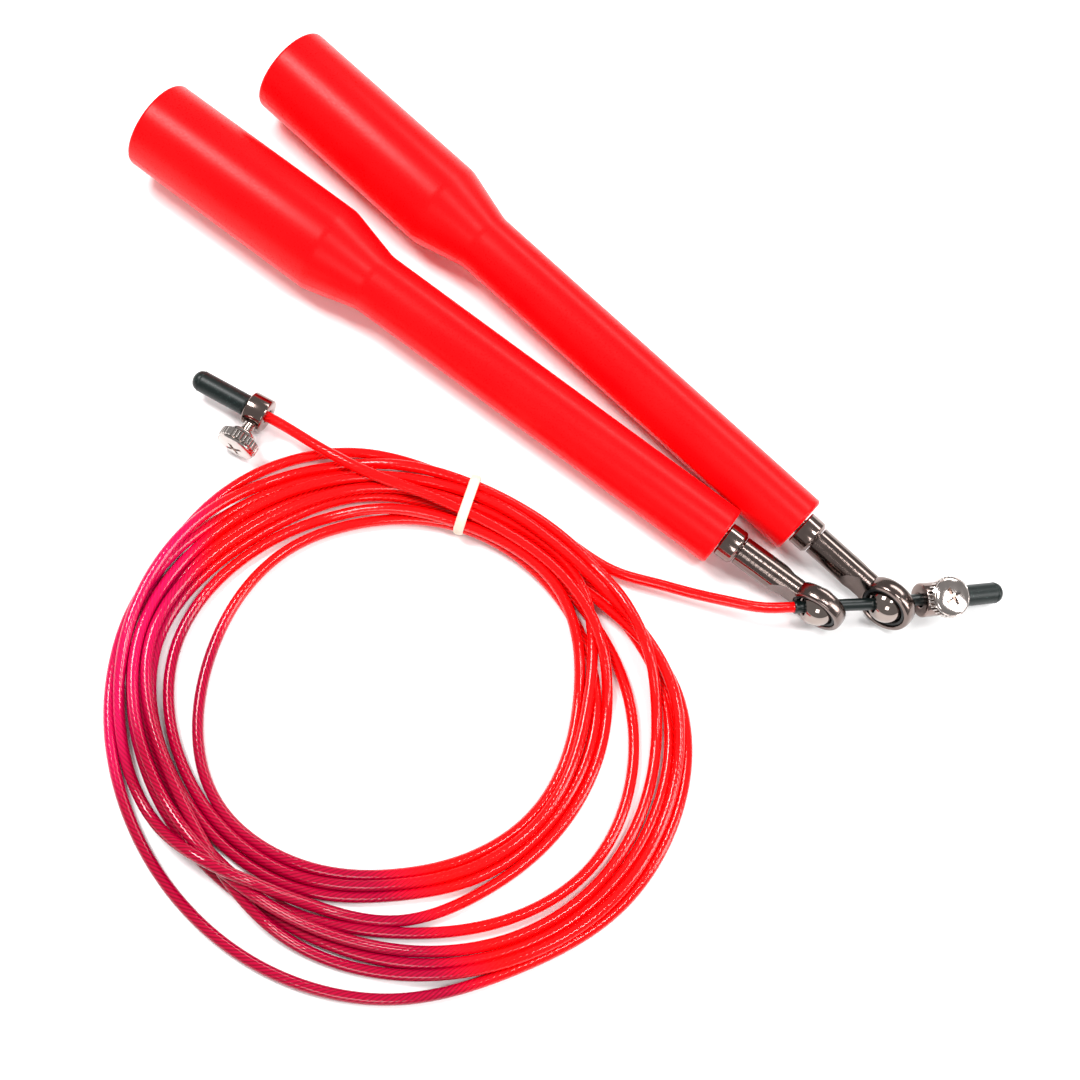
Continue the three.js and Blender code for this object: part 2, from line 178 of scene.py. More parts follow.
cable_knots = [
    HANDLE_STOPPER + HANDLE_LINE * 12.5,
    HANDLE_STOPPER,
    HANDLE_BEND + HANDLE_LINE * 3,
    HANDLE_BEND - EYE_LINE * 0.6,
    RIGHT_EYE - EYE_LINE * 3,
    LEFT_EYE,
    LEFT_EYE - EYE_LINE * 7.3,
    LEFT_EYE - EYE_LINE * 9.7,
    Vector((75.9, -15.1, 6.4)),
    Vector((71.5, -17.5, 5.6)),
    Vector((67.0, -19.7, 4.9)),
    Vector((62.2, -21.9, 4.4)),
    Vector((55.0, -25.0, 3.8)),
    Vector((46.5, -28.6, 3.2)),
    on_turn(88, 53.9, 2.2),
]
for turn, radii in enumerate(TURNS):
    cable_knots.append(at_tie(TIE_SLOTS[turn]))
    cable_knots += [on_turn(station, radius) for station, radius in zip(STATIONS, radii)]
    cable_knots.append(on_turn(BUNCH_ANGLE, BUNCH_RADIUS + TIE_SLOTS[turn + 1]))
cable_knots += [
    at_tie(TIE_SLOTS[-1]),
    Vector((3.3, -43.4, 2.5)),
    Vector((-3.6, -46.0, 3.2)),
    Vector((-12.9, -49.0, 4.0)),
    Vector((-20.7, -50.5, 4.8)),
    Vector((-24.8, -51.1, 5.1)),
    Vector((-29.4, -51.7, 5.0)),
    FREE_STOPPER + FREE_LINE * 6,
    FREE_STOPPER,
    FREE_STOPPER - FREE_LINE * 10.5,
]


def smooth_curve(knots, step):
    """Points about a step apart on the cubic curve that bends least through the knots."""
    places = np.array(knots)
    reach = np.concatenate([[0], np.cumsum(np.linalg.norm(np.diff(places, axis=0), axis=1))])
    gaps = np.diff(reach)
    slopes = np.diff(places, axis=0) / gaps[:, None]
    system = np.eye(len(places))
    bends = np.zeros_like(places)
    for i in range(1, len(places) - 1):
        system[i, i - 1:i + 2] = gaps[i - 1], 2 * (gaps[i - 1] + gaps[i]), gaps[i]
        bends[i] = 6 * (slopes[i] - slopes[i - 1])
    bends = np.linalg.solve(system, bends)
    wanted = np.linspace(0, reach[-1], round(reach[-1] / step) + 1)
    span = np.clip(np.searchsorted(reach, wanted, side="right") - 1, 0, len(gaps) - 1)
    gap = gaps[span][:, None]
    after = (wanted - reach[span])[:, None]
    before = gap - after
    return (
        (bends[span] * before ** 3 + bends[span + 1] * after ** 3) / (6 * gap)
        + (places[span] / gap - bends[span] * gap / 6) * before
        + (places[span + 1] / gap - bends[span + 1] * gap / 6) * after
    )


def laid_down(points, diameter):
    """Lays the line down from its start: each stretch rests on those before it, in long humps."""
    contact = diameter - 0.14    # between the middles of two cables, as the soft coats give
    own_reach = 14               # points of the same stretch, which don't count
    stretch = 40                 # points laid down at a time
    hump = 5                     # points that a crossing is softened over, either way
    spread = 2.2                 # of that softening, in points
    slack = 0.1                  # a brush this light doesn't lift a cable
    weights = np.exp(-0.5 * (np.arange(-hump, hump + 1) / spread) ** 2)
    weights /= weights.sum()
    floor_line = np.maximum(points[:, 2], diameter / 2)
    height = floor_line.copy()
    across = np.linalg.norm(points[:, None, :2] - points[None, :, :2], axis=2)
    for first in range(0, len(points), stretch):
        last = min(first + stretch, len(points))
        ahead = min(last + 2 * hump, len(points))
        behind = max(first - 2 * hump, 0)
        resting = floor_line[behind:ahead].copy()
        for i in range(behind, ahead):
            earlier = np.nonzero(across[i, :max(0, min(i, first) - own_reach)] < contact)[0]
            room = np.sqrt(contact ** 2 - across[i, earlier] ** 2)
            spans = sorted(zip(height[earlier] - room, height[earlier] + room))
            for low, high in spans:
                if low + slack < resting[i - behind] < high:
                    resting[i - behind] = high
        padded = np.pad(resting, hump, "edge")
        wide = np.max([np.roll(padded, shift) for shift in range(-hump + 2, hump - 1)], axis=0)
        smooth = np.convolve(wide, weights, "valid")
        height[first:last] = smooth[first - behind:last - behind]
    lifted = points.copy()
    lifted[:, 2] = np.where(height > floor_line + 0.02, height, floor_line)
    return lifted


def tube(name, line, radii, sides):
    """A closed round tube along a line in millimetres. Its UVs are millimetres along it and
    turns round it."""
    line = np.asarray(line, float)
    ahead = np.gradient(line, axis=0)
    ahead /= np.linalg.norm(ahead, axis=1)[:, None]
    side = np.cross(ahead[0], (0, 0, 1))
    angles = 2 * math.pi * np.arange(sides)[:, None] / sides
    rings = []
    for place, forward, radius in zip(line, ahead, np.broadcast_to(radii, len(line))):
        side = side - forward * side.dot(forward)
        side /= np.linalg.norm(side)
        over = np.cross(forward, side)
        rings.append(place + radius * (np.cos(angles) * side + np.sin(angles) * over))
    faces = []
    for ring in range(len(line) - 1):
        for i in range(sides):
            near, beyond, turn = ring * sides, (ring + 1) * sides, (i + 1) % sides
            faces.append((near + i, near + turn, beyond + turn, beyond + i))
    walls = len(faces)
    faces.append(tuple(range(sides - 1, -1, -1)))
    faces.append(tuple(range((len(line) - 1) * sides, len(line) * sides)))
    mesh = bpy.data.meshes.new(name)
    mesh.from_pydata((np.concatenate(rings) * MM).tolist(), [], faces)
    along = np.concatenate([[0], np.cumsum(np.linalg.norm(np.diff(line, axis=0), axis=1))])
    layer = mesh.uv_layers.new(name="along")
    for face in mesh.polygons[:walls]:
        ring, i = divmod(face.index, sides)
        marks = ((ring, i), (ring, i + 1), (ring + 1, i + 1), (ring + 1, i))
        for loop, (row, turn) in zip(face.loop_indices, marks):
            layer.data[loop].uv = (along[row], turn / sides)
    mesh.shade_smooth()
    made = bpy.data.objects.new(name, mesh)
    bpy.context.scene.collection.objects.link(made)
    return made


cable_line = laid_down(smooth_curve(cable_knots, CABLE_STEP), CABLE_DIAMETER)
cable = tube("cable", cable_line, CABLE_DIAMETER / 2, CABLE_SIDES)

# Plasticised PVC, extruded, clear and tinted red: glossy over the slanting grooves of the steel
# strands.
# On the side of the coil away from the grips, the red is painted over with magenta, a painted coloured
# light, and with deep crimson, a painted shade.
STRANDS = 9
STRAND_LAY = 13.0                # mm of cable for one turn of a strand, drawn coarse enough to show
cable_pvc, tree, shader = new_material("tinted_pvc_with_painted_light_and_shade", {
    "Roughness": 0.1,
    "IOR": 1.53,
    "Specular IOR Level": 0.3,
})
uv = add_node(tree, "ShaderNodeUVMap", {"uv_map": "along"})
split = add_node(tree, "ShaderNodeSeparateXYZ", None, {0: uv.outputs[0]})
lay = add_node(tree, "ShaderNodeMath", {"operation": "DIVIDE"}, {0: split.outputs[0], 1: STRAND_LAY})
twist = add_node(tree, "ShaderNodeMath", {"operation": "ADD"}, {0: split.outputs[1], 1: lay.outputs[0]})
phase = add_node(
    tree, "ShaderNodeMath", {"operation": "MULTIPLY"}, {0: twist.outputs[0], 1: STRANDS * math.pi},
)
wave = add_node(tree, "ShaderNodeMath", {"operation": "SINE"}, {0: phase.outputs[0]})
strand = add_node(tree, "ShaderNodeMath", {"operation": "ABSOLUTE"}, {0: wave.outputs[0]})
place = add_node(tree, "ShaderNodeTexCoord")
# Red is the coat's own tint. Crimson is painted shade on the coil's -Y side, and magenta is painted
# coloured light on its -X side.
RED_AND_PAINTED_LIGHT_SHADE_TONES = {                        # between the strands and on them
    "red": ("#C40004", "#FF080A"),
    "painted_shade_crimson": ("#6E001A", "#AC0030"),
    "painted_light_magenta": ("#AC063A", "#D60A50"),
}
# Where the painted shade (crimson) and the painted light (magenta) come in, along a straight way across
# the coil.
PAINTED_LIGHT_AND_SHADE_EDGES = {                   # where a tint starts to come in and where it is full, in metres
    "painted_shade_crimson": ((0.033, -0.098, 0), (0.029, -0.113, 0)),
    "painted_light_magenta": ((-0.0150, -0.1043, 0), (-0.0240, -0.1085, 0)),
}
tinted = None
for name, (groove, crown) in RED_AND_PAINTED_LIGHT_SHADE_TONES.items():
    tint = add_node(
        tree, "ShaderNodeMix", {"data_type": "RGBA"},
        {"Factor": strand.outputs[0], 6: linear(groove), 7: linear(crown)},
    ).outputs[2]
    # Crimson and magenta are mixed in by position: a painted shade and a painted coloured light.
    if name in PAINTED_LIGHT_AND_SHADE_EDGES:
        start, full = (Vector(corner) for corner in PAINTED_LIGHT_AND_SHADE_EDGES[name])
        way = (full - start) / (full - start).length_squared
        along = add_node(
            tree, "ShaderNodeVectorMath", {"operation": "DOT_PRODUCT"},
            {0: place.outputs["Object"], 1: way},
        )
        painted_light_shade_share = add_node(tree, "ShaderNodeMapRange", {"interpolation_type": "SMOOTHSTEP"}, {
            "Value": along.outputs["Value"],
            "From Min": start.dot(way),
            "From Max": full.dot(way),
        })
        tint = add_node(
            tree, "ShaderNodeMix", {"data_type": "RGBA"},
            {"Factor": painted_light_shade_share.outputs[0], 6: tinted, 7: tint},
        ).outputs[2]
    tinted = tint
tree.links.new(tinted, shader.inputs["Base Color"])
relief = add_node(
    tree, "ShaderNodeBump", None,
    {"Strength": 0.12, "Distance": 0.12 * MM, "Height": strand.outputs[0]},
)
tree.links.new(relief.outputs[0], shader.inputs["Normal"])
cable.data.materials.append(cable_pvc)

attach(cable, "cable")
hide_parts("cable_coil", "cable_handle_lead", "cable_free_lead")

# ---- Shrink sleeve ------------------------------------------------------------------------
# Black heat-shrink tube over the cable's end, where it runs through both eyes and the stopper.
# It is shrunk tight over the coat, with a thin lip at its mouth.
SLEEVE_RADIUS = 1.42
SLEEVE_LIP = 1.55
SLEEVE_MOUTH = 5.4               # from the left eye, on the coil's side
SLEEVE_START = HANDLE_STOPPER + HANDLE_LINE * 13.6      # inside the cap
SLEEVE_STEP = 0.5
SLEEVE_POINTS = 60               # of the cable's line, enough to reach past the mouth
covered = np.vstack([[SLEEVE_START], cable_line[:SLEEVE_POINTS]])
from_start = np.concatenate([[0], np.cumsum(np.linalg.norm(np.diff(covered, axis=0), axis=1))])
left_eye_index = np.argmin(np.linalg.norm(covered - np.array(LEFT_EYE), axis=1))
sleeve_length = from_start[left_eye_index] + SLEEVE_MOUTH
marks = np.linspace(0, sleeve_length, round(sleeve_length / SLEEVE_STEP) + 1)
sleeve_line = np.stack([np.interp(marks, from_start, covered[:, i]) for i in range(3)], axis=1)
sleeve_radii = np.full(len(sleeve_line), SLEEVE_RADIUS)
sleeve_radii[-2:] = SLEEVE_LIP
sleeve = tube("cable_sleeve", sleeve_line, sleeve_radii, 28)

# Crosslinked polyolefin, shrunk over the cable: satin black with faint wrinkles along it.
polyolefin, tree, shader = new_material("shrunk_black_polyolefin", {
    "Base Color": linear("#0C1615"),
    "Roughness": 0.3,
})
uv = add_node(tree, "ShaderNodeUVMap", {"uv_map": "along"})
wrinkle_way = add_node(tree, "ShaderNodeMapping", None, {0: uv.outputs[0], "Scale": (0.25, 14, 1)})
wrinkles = add_node(
    tree, "ShaderNodeTexNoise", None, {"Vector": wrinkle_way.outputs[0], "Scale": 1.0, "Detail": 3.0},
)
relief = add_node(
    tree, "ShaderNodeBump", None,
    {"Strength": 0.5, "Distance": 0.05 * MM, "Height": wrinkles.outputs["Fac"]},
)
tree.links.new(relief.outputs[0], shader.inputs["Normal"])
sleeve.data.materials.append(polyolefin)

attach(sleeve, "cable")
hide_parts("cable_end_sleeve")

# ---- Coil tie -----------------------------------------------------------------------------
# A cream silicone band moulded as a closed loop and pulled over the turns. Its section is a flat
# oval, and it stands off a little at the two ends of the bundle.
TIE_CENTRE = on_turn(TIE_ANGLE, TIE_RADIUS, 0)
TIE_HALF_WIDTH = 1.15
TIE_HALF_THICKNESS = 0.5
TIE_REACH = 6.85                 # middle of the band, half across the turns
TIE_HEIGHT = 7.3                 # middle of the band, floor side to top
TIE_BOW = 0.16                   # how far its long sides stand out in the middle
TIE_PART = 0.9                   # half the width of the middle, which is pulled out long
TIE_EASE = 1.02                  # the round ends are this much longer than half circles

bpy.ops.object.select_all(action="DESELECT")
bpy.ops.mesh.primitive_torus_add(
    major_segments=72, minor_segments=20,
    major_radius=TIE_HEIGHT / 2, minor_radius=TIE_HALF_THICKNESS,
)
tie = bpy.context.object
tie.name = "cable_tie_band"
# The round loop is parted in the middle and stretched to a long one, then its band is widened.
part = TIE_REACH - TIE_HEIGHT / 2
for corner in tie.data.vertices:
    x, y, z = corner.co
    bow = TIE_BOW * math.cos(math.pi * x / TIE_HEIGHT)
    stretched = x * TIE_EASE + math.copysign(part, x) * min(1, abs(x) / TIE_PART)
    corner.co = (stretched, y + math.copysign(bow, y), z * TIE_HALF_WIDTH / TIE_HALF_THICKNESS)
tie.data.transform(
    Matrix.Scale(MM, 4)
    @ Matrix.Translation(TIE_CENTRE + Vector((0, 0, TIE_HEIGHT / 2 + TIE_HALF_THICKNESS + TIE_BOW)))
    @ Matrix.Rotation(math.radians(TIE_ANGLE), 4, "Z")
    @ Matrix.Rotation(math.radians(90), 4, "X")
)
tie.data.shade_smooth()

# Moulded silicone rubber: cream, waxy, slightly see-through, with a fine dusty mottle.
silicone, tree, shader = new_material("cream_silicone", {
    "Roughness": 0.55,
    "IOR": 1.41,
    "Subsurface Weight": 0.15,
    "Subsurface Scale": 0.5 * MM,
})
place = add_node(tree, "ShaderNodeTexCoord")
mottle = add_node(
    tree, "ShaderNodeTexNoise", None,
    {"Vector": place.outputs["Object"], "Scale": 1 / (0.6 * MM), "Detail": 3.0},
)
tone = add_node(
    tree, "ShaderNodeMix", {"data_type": "RGBA"},
    {"Factor": mottle.outputs["Fac"], 6: linear("#DCC8B2"), 7: linear("#E8DCCB")},
)
tree.links.new(tone.outputs[2], shader.inputs["Base Color"])
relief = add_node(
    tree, "ShaderNodeBump", None,
    {"Strength": 0.3, "Distance": 0.03 * MM, "Height": mottle.outputs["Fac"]},
)
tree.links.new(relief.outputs[0], shader.inputs["Normal"])
tie.data.materials.append(silicone)

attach(tie, "cable")
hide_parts("coil_tie")

# ---- End caps -----------------------------------------------------------------------------
# A soft black PVC cap is pushed over each end of the cable. It is dip-moulded, with a domed end,
# a thin shoulder line before the dome, and a rolled mouth.


def turned(name, outline, steps=72):
    """Spins a half outline, of stations and radii in millimetres, about X into a closed body."""
    mesh = bpy.data.meshes.new(name)
    edges = [(i, i + 1) for i in range(len(outline) - 1)]
    if outline[0][1] > 0:
        edges.append((len(outline) - 1, 0))
    mesh.from_pydata([(station, 0, radius) for station, radius in outline], edges, [])
    made = bpy.data.objects.new(name, mesh)
    bpy.context.scene.collection.objects.link(made)
    bpy.ops.object.select_all(action="DESELECT")
    bpy.context.view_layer.objects.active = made
    made.select_set(True)
    bpy.ops.object.mode_set(mode="EDIT")
    bpy.ops.mesh.select_all(action="SELECT")
    bpy.ops.mesh.spin(steps=steps, angle=math.tau, center=(0, 0, 0), axis=(1, 0, 0))
    bpy.ops.mesh.select_all(action="SELECT")
    bpy.ops.mesh.remove_doubles(threshold=0.001)
    bpy.ops.mesh.normals_make_consistent(inside=False)
    bpy.ops.object.mode_set(mode="OBJECT")
    return made


def rounded(outline, corner, steps=4):
    """The same outline with each corner that isn't on the axis rounded."""
    count = len(outline)
    ends_on_axis = outline[0][1] == 0
    smooth = []
    for i, point in enumerate(outline):
        if ends_on_axis and i in (0, count - 1):
            smooth.append(point)
            continue
        here = Vector(point)
        to_last, to_next = Vector(outline[i - 1]) - here, Vector(outline[(i + 1) % count]) - here
        cut = min(corner, to_last.length * 0.45, to_next.length * 0.45)
        start, end = here + to_last.normalized() * cut, here + to_next.normalized() * cut
        for step in range(steps + 1):
            t = step / steps
            smooth.append(tuple(start * (1 - t) ** 2 + here * 2 * t * (1 - t) + end * t ** 2))
    return smooth


def set_down(piece, place, material, sharp=40):
    """Puts a piece modelled in millimetres at its place in the row frame, smooth but for its
    sharp edges, in its material."""
    piece.data.transform(Matrix.Scale(MM, 4) @ place)
    piece.data.materials.clear()
    piece.data.materials.append(material)
    bpy.ops.object.select_all(action="DESELECT")
    bpy.context.view_layer.objects.active = piece
    piece.select_set(True)
    bpy.ops.object.shade_smooth_by_angle(angle=math.radians(sharp))


def basis(origin, along, upward):
    """A place at the origin given, with +X along one direction and +Z square to it."""
    side = upward.cross(along)
    turn = Matrix((along, side, upward)).transposed().to_4x4()
    return Matrix.Translation(origin) @ turn


# In each place +X points along the cable away from the cap, and +Z along the clamp screw.
CABLE_ENDS = {
    "handle_end": basis(HANDLE_STOPPER, -HANDLE_LINE, joint_axis("handle_end_screw_turn")),
    "free_end": basis(FREE_STOPPER, FREE_LINE, joint_axis("free_end_screw_turn")),
}
STOPPER_LENGTH = 5.0
CAP_RADIUS = 2.5
CAP_LENGTH = 14.2
CAP_GAPS = {"handle_end": 2.7, "free_end": 0.3}
CAP_BORE = 1.55
CAP_BORE_DEPTH = 8.8
DOME_LENGTH = 1.9

# Dip-moulded PVC: green-black satin, with a soft orange-peel and specks of dust.
dip_pvc, tree, shader = new_material("dip_moulded_black_pvc", {
    "Roughness": 0.4,
    "Specular IOR Level": 0.3,
})
place = add_node(tree, "ShaderNodeTexCoord")
specks = add_node(
    tree, "ShaderNodeTexNoise", None,
    {"Vector": place.outputs["Object"], "Scale": 1 / (0.35 * MM), "Detail": 4.0, "Roughness": 0.7},
)
dust = add_node(tree, "ShaderNodeMapRange", None, {
    "Value": specks.outputs["Fac"], "From Min": 0.61, "From Max": 0.7,
})
tone = add_node(
    tree, "ShaderNodeMix", {"data_type": "RGBA"},
    {"Factor": dust.outputs[0], 6: linear("#0B1514"), 7: linear("#3E5652")},
)
tree.links.new(tone.outputs[2], shader.inputs["Base Color"])
relief = add_node(
    tree, "ShaderNodeBump", None,
    {"Strength": 0.35, "Distance": 0.05 * MM, "Height": specks.outputs["Fac"]},
)
tree.links.new(relief.outputs[0], shader.inputs["Normal"])

for end, place in CABLE_ENDS.items():
    mouth = -STOPPER_LENGTH / 2 - CAP_GAPS[end]
    shoulder = mouth - CAP_LENGTH + DOME_LENGTH
    dome = [
        (shoulder - DOME_LENGTH * math.sin(angle), (CAP_RADIUS - 0.12) * math.cos(angle))
        for angle in (math.radians(9 * i) for i in range(1, 10))
    ]
    cap = turned(f"{end}_end_cap", [
        (shoulder - DOME_LENGTH, 0),
        *reversed(dome),
        (shoulder, CAP_RADIUS - 0.12),
        (shoulder + 0.06, CAP_RADIUS + 0.02),
        (shoulder + 0.2, CAP_RADIUS + 0.03),
        (shoulder + 0.3, CAP_RADIUS - 0.03),
        (shoulder + 0.5, CAP_RADIUS),
        (mouth - 0.9, CAP_RADIUS),
        (mouth - 0.6, CAP_RADIUS + 0.04),
        (mouth - 0.15, CAP_RADIUS + 0.02),
        (mouth, CAP_RADIUS - 0.15),
        (mouth, CAP_BORE + 0.1),
        (mouth - 0.1, CAP_BORE),
        (mouth - CAP_BORE_DEPTH, CAP_BORE),
        (mouth - CAP_BORE_DEPTH, 0),
    ], 56)
    set_down(cap, place, dip_pvc, 50)
    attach(cap, "cable")
    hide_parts(f"{end}_cap")

# ---- Stoppers -----------------------------------------------------------------------------
# A turned brass ring slides on each cable end and stops the eyes or the cap. It is drilled along
# for the cable and across for its clamp screw, its rims are broken, and it is black-nickel plated.
STOPPER_RADIUS = 4.0
STOPPER_BORE = 1.62
SCREW_HOLE = 1.58


def cut_from(piece, cutter):
    """Cuts one piece out of another and clears the cutter away."""
    modifier = piece.modifiers.new("cut", "BOOLEAN")
    modifier.operation = "DIFFERENCE"
    modifier.solver = "EXACT"
    modifier.object = cutter
    bpy.ops.object.select_all(action="DESELECT")
    bpy.context.view_layer.objects.active = piece
    piece.select_set(True)
    bpy.ops.object.modifier_apply(modifier=modifier.name)
    bpy.data.objects.remove(cutter)


def plated_metal(name, tone, roughness, turning=0.0, place=None):
    """Bright plated or ground metal in the tone given, with a faint cloudiness, and turning
    grooves round the X axis of a place where they are asked for."""
    made, tree, shader = new_material(name, {"Metallic": 1.0})
    where = add_node(tree, "ShaderNodeTexCoord")
    clouds = add_node(
        tree, "ShaderNodeTexNoise", None,
        {"Vector": where.outputs["Object"], "Scale": 1 / (2.2 * MM), "Detail": 3.0},
    )
    darker = [value * 0.78 for value in linear(tone)[:3]] + [1.0]
    colour = add_node(
        tree, "ShaderNodeMix", {"data_type": "RGBA"},
        {"Factor": clouds.outputs["Fac"], 6: darker, 7: linear(tone)},
    )
    tree.links.new(colour.outputs[2], shader.inputs["Base Color"])
    polish = add_node(tree, "ShaderNodeMapRange", None, {
        "Value": clouds.outputs["Fac"], "From Min": 0.3, "From Max": 0.7,
        "To Min": roughness * 0.8, "To Max": roughness * 1.3,
    })
    tree.links.new(polish.outputs[0], shader.inputs["Roughness"])
    if turning:
        turn = add_node(tree, "ShaderNodeMapping", {"vector_type": "TEXTURE"}, {
            0: where.outputs["Object"],
            "Rotation": place.to_euler(),
            "Scale": (MM, 50 * MM, 50 * MM),
        })
        grooves = add_node(
            tree, "ShaderNodeTexNoise", None,
            {"Vector": turn.outputs[0], "Scale": 2.4, "Detail": 4.0, "Roughness": 0.7},
        )
        relief = add_node(
            tree, "ShaderNodeBump", None,
            {"Strength": turning, "Distance": 0.08 * MM, "Height": grooves.outputs["Fac"]},
        )
        tree.links.new(relief.outputs[0], shader.inputs["Normal"])
    return made


bright_plate = plated_metal("bright_black_nickel", "#8C7B75", 0.12)
for end, place in CABLE_ENDS.items():
    half = STOPPER_LENGTH / 2
    stopper = turned(f"{end}_stop_ring", rounded([
        (-half, STOPPER_BORE + 0.25),
        (-half, STOPPER_RADIUS - 0.3),
        (-half + 0.3, STOPPER_RADIUS),
        (half - 0.3, STOPPER_RADIUS),
        (half, STOPPER_RADIUS - 0.3),
        (half, STOPPER_BORE + 0.25),
        (half - 0.25, STOPPER_BORE),
        (-half + 0.25, STOPPER_BORE),
    ], 0.12, 2), 96)
    drill = turned("drill", [(0.5, 0), (0.5, SCREW_HOLE), (6, SCREW_HOLE), (6, 0)], 32)
    drill.data.transform(Matrix.Rotation(math.radians(-90), 4, "Y"))
    cut_from(stopper, drill)
    set_down(stopper, place, bright_plate, 30)
    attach(stopper, f"{end}_stopper")
    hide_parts(f"{end}_stopper")

# ---- Clamp screws -------------------------------------------------------------------------
# An M3 screw with a thin domed head and a cross recess stands in each stopper and pinches the
# cable. Its knurled thumb collar is pressed on under the head, and both are bright nickel plated.
SCREW_RADIUS = 1.5
THREAD_PITCH = 0.5
THREAD_DEPTH = 0.3
BOSS_START, KNURL_START, KNURL_END = 6.0, 7.3, 9.7      # from the cable's axis
BOSS_RADIUS = 2.9
KNURL_RADIUS = 4.7
KNURL_DEPTH = 0.32
KNURL_TEETH = 32
HEAD_RADIUS = 4.5
HEAD_HEIGHT = 1.0
RECESS_REACH = 2.5
RECESS_WIDTH = 1.0
RECESS_DEPTH = 1.15
RECESS_FLOOR_WIDTH = 0.45        # shares of the width and reach that are left at its bottom
RECESS_FLOOR_REACH = 0.5
DOME_START = 0.45                # of the head's height, where its dome begins
RECESS_TURN = 30                 # degrees, from the cable's line
UP_SCREW = Matrix.Rotation(math.radians(-90), 4, "Y")    # turns a piece's X to the screw's Z

screw_plate = plated_metal("bright_nickel_screw", "#C9BFBA", 0.1)
for end, place in CABLE_ENDS.items():
    head_start = KNURL_END + 0.05
    threads = []
    station = STOPPER_RADIUS - 1.0
    while station < BOSS_START - 0.1:
        threads += [(station, SCREW_RADIUS - THREAD_DEPTH), (station + THREAD_PITCH / 2, SCREW_RADIUS)]
        station += THREAD_PITCH
    dome = [
        (
            head_start + DOME_START + (HEAD_HEIGHT - DOME_START) * math.cos(angle),
            (HEAD_RADIUS - 0.25) * math.sin(angle),
        )
        for angle in (math.radians(9 * i) for i in range(10))
    ]
    screw = turned(f"{end}_cross_screw", [
        (SCREW_RADIUS + 0.1, 0),
        (SCREW_RADIUS + 0.1, SCREW_RADIUS - 0.6),
        (SCREW_RADIUS + 0.6, SCREW_RADIUS - THREAD_DEPTH),
        *threads,
        (head_start, SCREW_RADIUS - THREAD_DEPTH),
        (head_start, HEAD_RADIUS - 0.12),
        (head_start + 0.12, HEAD_RADIUS),
        (head_start + 0.36, HEAD_RADIUS),
        (head_start + 0.48, HEAD_RADIUS - 0.1),
        (head_start + 0.42, HEAD_RADIUS - 0.2),
        *reversed(dome),
    ], 80)
    # Two crossed blocks, which narrow towards the bottom, cut the recess.
    for arm in (RECESS_TURN, RECESS_TURN + 90):
        bpy.ops.object.select_all(action="DESELECT")
        bpy.ops.mesh.primitive_cube_add(size=1)
        punch = bpy.context.object
        top = head_start + HEAD_HEIGHT + 0.3
        bpy.ops.object.mode_set(mode="EDIT")
        bpy.ops.transform.resize(value=(RECESS_DEPTH + 0.3, RECESS_WIDTH, 2 * RECESS_REACH))
        bpy.ops.object.mode_set(mode="OBJECT")
        for corner in punch.data.vertices:
            if corner.co.x < 0:
                corner.co.y *= RECESS_FLOOR_WIDTH
                corner.co.z *= RECESS_FLOOR_REACH
        punch.data.transform(
            Matrix.Rotation(math.radians(arm), 4, "X")
            @ Matrix.Translation((top - (RECESS_DEPTH + 0.3) / 2, 0, 0))
        )
        cut_from(screw, punch)
    set_down(screw, place @ UP_SCREW, screw_plate, 30)
    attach(screw, f"{end}_screw")
    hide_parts(f"{end}_clamp_screw")

    # The collar's round teeth are pressed into a plain cylinder, with narrow grooves between.
    bpy.ops.object.select_all(action="DESELECT")
    bpy.ops.mesh.primitive_cylinder_add(
        vertices=KNURL_TEETH * 6, radius=KNURL_RADIUS, depth=KNURL_END - KNURL_START,
        end_fill_type="NGON",
    )
    collar = bpy.context.object
    collar.name = f"{end}_knurled_collar"
    for corner in collar.data.vertices:
        tooth = (math.atan2(corner.co.y, corner.co.x) / math.tau * KNURL_TEETH) % 1
        dip = (0, 0.1, 0.5, 1, 0.5, 0.1)[round(tooth * 6) % 6]
        corner.co.xy = corner.co.xy * (1 - dip * KNURL_DEPTH / KNURL_RADIUS)
    collar.data.transform(
        Matrix.Translation(((KNURL_START + KNURL_END) / 2, 0, 0))
        @ Matrix.Rotation(math.radians(90), 4, "Y")
    )
    blank = turned("blank", [
        (KNURL_START - 1, KNURL_RADIUS - 0.55),
        (KNURL_START, KNURL_RADIUS - 0.5),
        (KNURL_START + 0.4, KNURL_RADIUS + 0.02),
        (KNURL_END - 0.35, KNURL_RADIUS + 0.02),
        (KNURL_END, KNURL_RADIUS - 0.4),
        (KNURL_END + 1, KNURL_RADIUS - 0.45),
        (KNURL_END + 1, KNURL_RADIUS + 2),
        (KNURL_START - 1, KNURL_RADIUS + 2),
    ], 96)
    cut_from(collar, blank)
    boss = turned(f"{end}_collar_boss", rounded([
        (BOSS_START, 0),
        (BOSS_START, BOSS_RADIUS - 0.3),
        (BOSS_START + 0.3, BOSS_RADIUS),
        (KNURL_START + 0.5, BOSS_RADIUS + 0.05),
        (KNURL_START + 0.5, 0),
    ], 0.2), 72)
    bpy.ops.object.select_all(action="DESELECT")
    bpy.context.view_layer.objects.active = collar
    for piece in (boss, collar):
        piece.select_set(True)
    bpy.ops.object.join()
    set_down(collar, place @ UP_SCREW, screw_plate, 25)
    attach(collar, f"{end}_screw")
    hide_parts(f"{end}_screw_collar")

